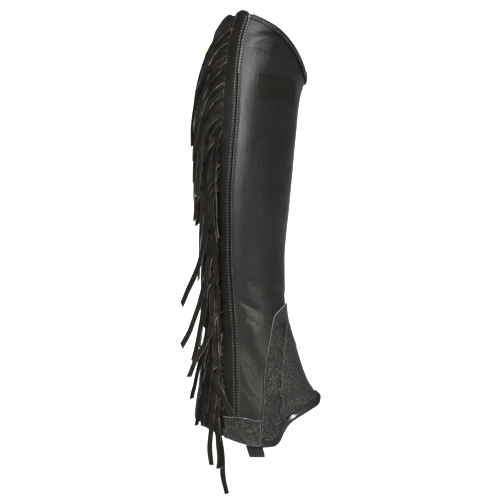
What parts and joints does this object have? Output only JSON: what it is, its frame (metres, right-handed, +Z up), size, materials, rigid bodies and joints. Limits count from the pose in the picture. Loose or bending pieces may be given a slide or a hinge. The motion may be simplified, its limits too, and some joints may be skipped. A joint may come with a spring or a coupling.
{
  "type": "half chap",
  "caption": "Hollow black leather half chap for a lower leg, with a suede fringe, a closed back zip and an elastic stirrup.",
  "frame": {"origin": "on the leg's axis inside the calf, level with its widest ring, where the leg holds the chap up", "axes": "+Z up the leg, +X forward to the toe, the outer side with the fringed seam faces -Y"},
  "size_m": [0.1482, 0.1143, 0.4939],
  "materials": {
    "smooth_leather": "smooth, semi-gloss",
    "plain_leather": "smooth, satin",
    "pebbled_leather": "pebbled grain",
    "binding_leather": "glossy, folded",
    "patch_leather": "matt",
    "band_leather": "worn, creased",
    "suede": "napped suede",
    "elastic": "woven elastic",
    "zip_tape": "woven tape",
    "brass": "worn brass"
  },
  "bodies": {
    "chap": {"outer_panel": "smooth_leather", "inner_panel": "plain_leather", "back_panel": "plain_leather", "foot_piece": "pebbled_leather", "instep_piece": "pebbled_leather", "top_binding": "binding_leather", "hem_binding": "binding_leather", "patch": "patch_leather", "ankle_band": "band_leather", "stirrup": "elastic", "fringe": "suede", "zip_tape_outer": "zip_tape", "zip_tape_inner": "zip_tape", "zip_teeth": "brass", "zip_slider": "brass"},
    "pull": {"zip_pull": "brass"}
  },
  "joints": [
    {"name": "pull_swing", "type": "hinge", "parent": "chap", "child": "pull", "pos_m": [-0.04279, -0.00488, 0.08179], "axis": [-0.0716, 0.9974, 0], "range_deg": [0, 150]}
  ]
}
